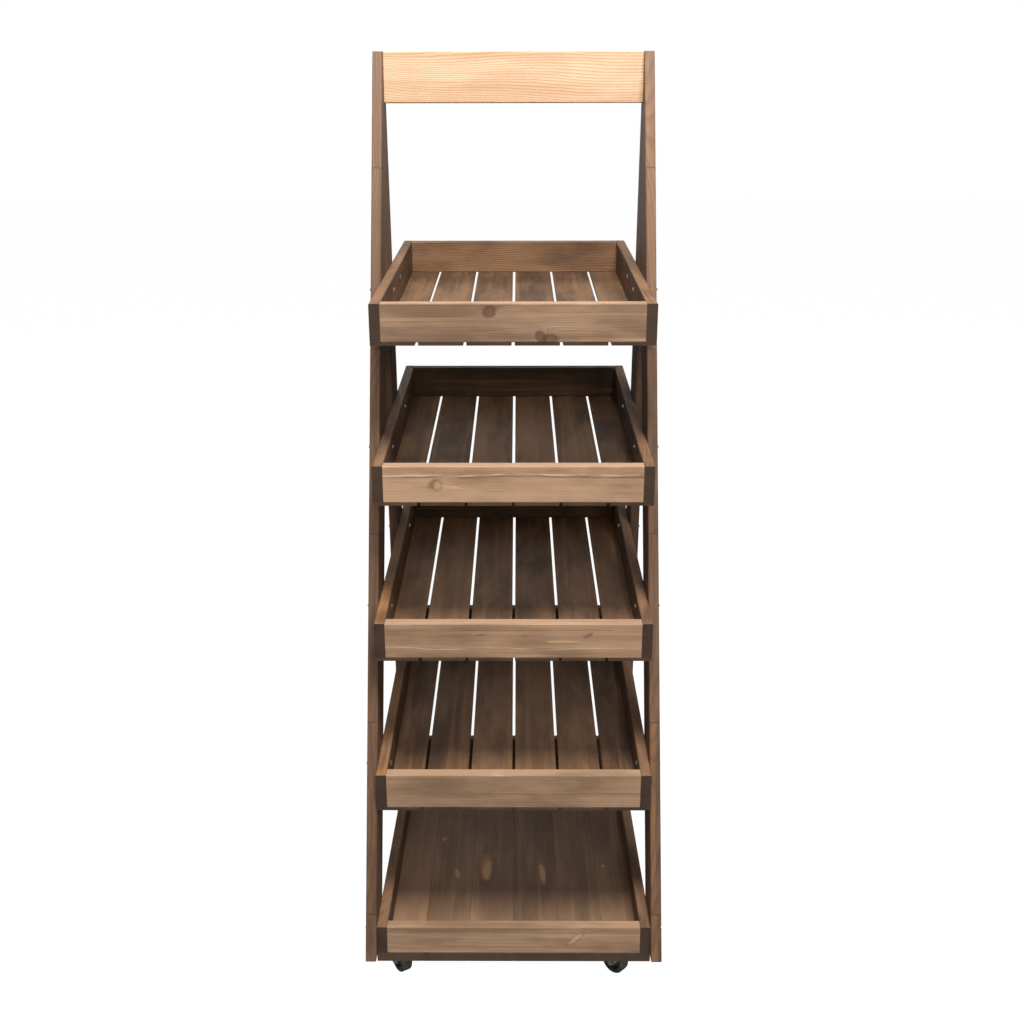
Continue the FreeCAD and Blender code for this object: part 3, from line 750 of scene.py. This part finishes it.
def linked(name, mesh, material):
    """A new object in the scene, made from a bmesh."""
    data = bpy.data.meshes.new(name)
    mesh.to_mesh(data)
    mesh.free()
    data.materials.append(material)
    piece = bpy.data.objects.new(name, data)
    bpy.context.scene.collection.objects.link(piece)
    return piece


def fitted(name, mesh, material, body):
    """A new piece of the stand, which rides on one of its bodies."""
    piece = linked(name, mesh, material)
    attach(piece, body)
    return piece


# ---------------------------------------------------------------- round castor wheels


WHEEL_STEPS = 48
WHEEL_RADIUS = 0.025
HALF_WHEEL = 0.011
TYRE_INNER = 0.019
TYRE_ROUND = 0.0035          # the radius of the tread's two edges
TYRE_ROUND_STEPS = 4
CORE_INNER = 0.016
HUB_RADIUS = 0.008
BORE_RADIUS = 0.00305
HALF_WEB = 0.003
CORE_LIP = 0.010             # half the width of the rim under the tyre
SHARP_EDGE = math.radians(28)


def spun(name, node, body, half_outline, joint, material):
    """A round piece on an axle, in a node's place, spun from places along the axle and their radii."""
    outline = half_outline + [(-x, radius) for x, radius in reversed(half_outline)]
    mesh = bmesh.new()
    corners = [mesh.verts.new((x, 0.0, radius)) for x, radius in outline]
    ring = [mesh.edges.new(pair) for pair in zip(corners, corners[1:] + corners[:1])]
    bmesh.ops.spin(mesh, geom=corners + ring, cent=(0, 0, 0), axis=X, angle=2 * math.pi, steps=WHEEL_STEPS,
                   use_merge=True)
    turn = Vector(X).rotation_difference(Vector(joint["axis"])).to_matrix().to_4x4()
    bmesh.ops.transform(mesh, matrix=Matrix.Translation(joint["pos_m"]) @ turn, verts=mesh.verts)
    bmesh.ops.recalc_face_normals(mesh, faces=mesh.faces)
    for face in mesh.faces:
        face.smooth = True
    for edge in mesh.edges:
        edge.smooth = edge.calc_face_angle(0.0) < SHARP_EDGE
    piece = fitted(name, mesh, material, body)
    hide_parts(node)


def round_wheels():
    """Each castor's wheel core, and its tyre with a rounded tread."""
    shoulder = HALF_WHEEL - TYRE_ROUND
    tread = WHEEL_RADIUS - TYRE_ROUND
    tyre = [(HALF_WHEEL, TYRE_INNER)]
    for step in range(TYRE_ROUND_STEPS + 1):
        angle = math.pi / 2 * step / TYRE_ROUND_STEPS
        tyre.append((shoulder + TYRE_ROUND * math.cos(angle), tread + TYRE_ROUND * math.sin(angle)))
    core = [
        (HALF_WHEEL, BORE_RADIUS),
        (HALF_WHEEL, HUB_RADIUS),
        (HALF_WEB, CORE_INNER),
        (CORE_LIP, CORE_INNER),
        (CORE_LIP, TYRE_INNER),
    ]
    rubber = tyre_rubber()
    plastic = wheel_plastic()
    joints = {joint["name"]: joint for joint in frame["joints"]}
    for name in CASTOR_NAMES:
        joint = joints[f"castor_{name}_roll"]
        body = f"castor_{name}_roller"
        spun(f"castor_{name}_round_tyre", f"castor_{name}_tyre", body, tyre, joint, rubber)
        spun(f"castor_{name}_round_core", f"castor_{name}_wheel", body, core, joint, plastic)


# ---------------------------------------------------------------- nails


NAIL_RADIUS = 0.0022
NAIL_HEIGHT = 0.0006
NAIL_SIDES = 10
NAIL_CROWN = 0.8             # the radius of a head's top, as a share of its foot's
SLAT_NAIL_PLACES = (0.02, 0.062)     # across a slat, from its left edge
FRONT_NAIL_INSET = 0.011     # from the front end of a slat
BACK_NAIL_INSET = 0.016      # from its back end
SIDE_NAIL_RISE = 0.018       # above and below the middle of a side board
EDGE_NAIL_INSET = 0.018      # from the front end of a side board


def nail_heads(name, places, direction, material):
    """Flat nail heads at some places, all facing one way, as one piece on the root body."""
    mesh = bmesh.new()
    turn = Vector(Z).rotation_difference(direction).to_matrix().to_4x4()
    for place in places:
        made = bmesh.ops.create_cone(mesh, cap_ends=True, segments=NAIL_SIDES, radius1=NAIL_RADIUS,
                                     radius2=NAIL_RADIUS * NAIL_CROWN, depth=NAIL_HEIGHT,
                                     matrix=Matrix.Translation(place) @ turn)
        faces = {face for vert in made["verts"] for face in vert.link_faces}
        tops = [face for face in faces if len(face.verts) > 4 and face.normal.dot(direction) > 0.9]
        bmesh.ops.inset_region(mesh, faces=tops, thickness=NAIL_RADIUS * 0.3, depth=-NAIL_HEIGHT * 0.2)
    fitted(name, mesh, material, "root")


def slat_nails(material):
    """Two nails through each slat into the front board and two into the back board, seen from below."""
    for tray in SLATTED_TRAYS:
        along, upright = tray_directions(tray)
        low, high = corner_box(f"{tray}_slats")
        foot = Vector((0, low.y, low.z))
        length = (high.y - low.y) / along.y
        places = []
        for slat in range(SLAT_COUNT):
            for across in SLAT_NAIL_PLACES:
                for run in (FRONT_NAIL_INSET, length - BACK_NAIL_INSET):
                    place = foot + along * run - upright * (NAIL_HEIGHT / 2)
                    place.x = low.x + slat * SLAT_PITCH + across
                    places.append(place)
        nail_heads(f"{tray}_slat_nails", places, -upright, material)


def side_nails(material):
    """Two nails through each end of each side board into the front and back boards."""
    for tray in TRAY_NAMES:
        _, upright = tray_directions(tray)
        for side, sign in SIDE_SIGNS.items():
            low, high = corner_box(f"{tray}_{side}_side")
            outer = low.x if side == "left" else high.x
            places = []
            for end in ("front", "back"):
                end_low, end_high = corner_box(f"{tray}_{end}_board")
                for rise in (-SIDE_NAIL_RISE, SIDE_NAIL_RISE):
                    place = (end_low + end_high) / 2 + upright * rise
                    place.x = outer + sign * NAIL_HEIGHT / 2
                    places.append(place)
            nail_heads(f"{tray}_{side}_side_nails", places, Vector(X) * sign, material)


def edge_nail(material):
    """The nail whose head shows on the top edge of the third tray's right side board, near its front."""
    along, upright = tray_directions("tray3")
    low, high = corner_box("tray3_right_side")
    front_low, front_high = corner_box("tray3_front_board")
    span = front_high - front_low
    rim = (span.z * along.y - span.y * along.z) / (along.y ** 2 - along.z ** 2)
    foot = Vector(((low.x + high.x) / 2, low.y, low.z))
    place = foot + Vector(Z) * (rim * upright.z) + along * EDGE_NAIL_INSET
    nail_heads("tray3_edge_nail", [place + upright * (NAIL_HEIGHT / 2)], upright, material)


# ---------------------------------------------------------------- stage, light and camera


WHITE = (1.0, 1.0, 1.0, 1.0)
FLOOR_COLOUR = (0.55, 0.54, 0.53, 1.0)
FLOOR_GLOW = 1.2
FLOOR_GLOW_SHARE = 0.82
FLOOR_HALF_SIZE = 40.0
SOFT_LIGHT = (1.0, 0.98, 0.96, 1.0)
SOFT_LIGHT_STRENGTH = 0.1
MIRRORED_WHITE = 0.35        # how much of the white shows in reflections


def floor_material():
    """A pale floor that the camera sees as near white, with the stand's soft shadow on it."""
    material = bpy.data.materials.new("studio_floor")
    material.use_nodes = True
    graph = Graph(material.node_tree)
    pale = graph.node("ShaderNodeBsdfDiffuse", None, {"Color": FLOOR_COLOUR})
    glow = graph.node("ShaderNodeEmission", None, {"Color": WHITE, "Strength": FLOOR_GLOW})
    graph.show(graph.blend(graph.ray("Is Camera Ray") * FLOOR_GLOW_SHARE, pale, glow))
    return material


def build_stage():
    mesh = bmesh.new()
    bmesh.ops.create_grid(mesh, x_segments=1, y_segments=1, size=FLOOR_HALF_SIZE)
    floor = linked("studio_floor", mesh, floor_material())


def build_world():
    """White to the camera, less of it in reflections, and an even soft light on the stand."""
    world = bpy.data.worlds.new("studio")
    bpy.context.scene.world = world
    world.use_nodes = True
    graph = Graph(world.node_tree)
    soft = graph.node("ShaderNodeBackground", None, {"Color": SOFT_LIGHT, "Strength": SOFT_LIGHT_STRENGTH})
    white = graph.node("ShaderNodeBackground", None, {"Color": WHITE})
    seen = graph.ray("Is Camera Ray") + graph.ray("Is Glossy Ray") * MIRRORED_WHITE
    graph.show(graph.blend(seen, soft, white), "ShaderNodeOutputWorld")


def area_lamp(name, place, target, size, power):
    """A square lamp that is aimed at its target, its size in metres and its power in watts."""
    data = bpy.data.lights.new(name, "AREA")
    data.shape = "SQUARE"
    data.size = size
    data.energy = power
    lamp = bpy.data.objects.new(name, data)
    lamp.location = place
    lamp.rotation_euler = (Vector(target) - Vector(place)).to_track_quat("-Z", "Y").to_euler()
    bpy.context.scene.collection.objects.link(lamp)


def build_lights():
    area_lamp("overhead_lamp", (0.2, -1.5, 3.8), (0.0, 0.0, 0.9), 1.2, 175.0)
    area_lamp("front_lamp", (0.7, -4.6, 2.9), (0.0, 0.0, 0.9), 2.2, 95.0)
    area_lamp("rear_lamp", (-0.5, 4.6, 2.2), (0.0, 0.0, 0.8), 2.2, 22.0)


def build_camera():
    data = bpy.data.cameras.new("camera")
    data.sensor_width = SENSOR_WIDTH
    data.lens = FOCAL_PIXELS / FRAME_PIXELS * SENSOR_WIDTH
    data.shift_y = (CENTRE_ROW - FRAME_PIXELS / 2) / FRAME_PIXELS
    camera = bpy.data.objects.new("camera", data)
    reach = math.cos(CAMERA_PITCH)
    forward = Vector((math.sin(CAMERA_YAW) * reach, math.cos(CAMERA_YAW) * reach, -math.sin(CAMERA_PITCH)))
    level = Vector((math.cos(CAMERA_YAW), -math.sin(CAMERA_YAW), 0.0))
    upright = level.cross(forward)
    right = level * math.cos(CAMERA_ROLL) + upright * math.sin(CAMERA_ROLL)
    up = upright * math.cos(CAMERA_ROLL) - level * math.sin(CAMERA_ROLL)
    turn = Matrix((right, up, -forward)).transposed()
    camera.matrix_world = Matrix.Translation(CAMERA_PLACE) @ turn.to_4x4()
    bpy.context.scene.collection.objects.link(camera)
    bpy.context.scene.camera = camera


ZINC = zinc()
finish_legs()
finish_header()
finish_trays()
finish_dowels()
finish_hardware(ZINC)
round_wheels()
slat_nails(ZINC)
side_nails(ZINC)
edge_nail(ZINC)
build_stage()
build_world()
build_lights()
build_camera()
bpy.context.scene.view_settings.view_transform = "Standard"
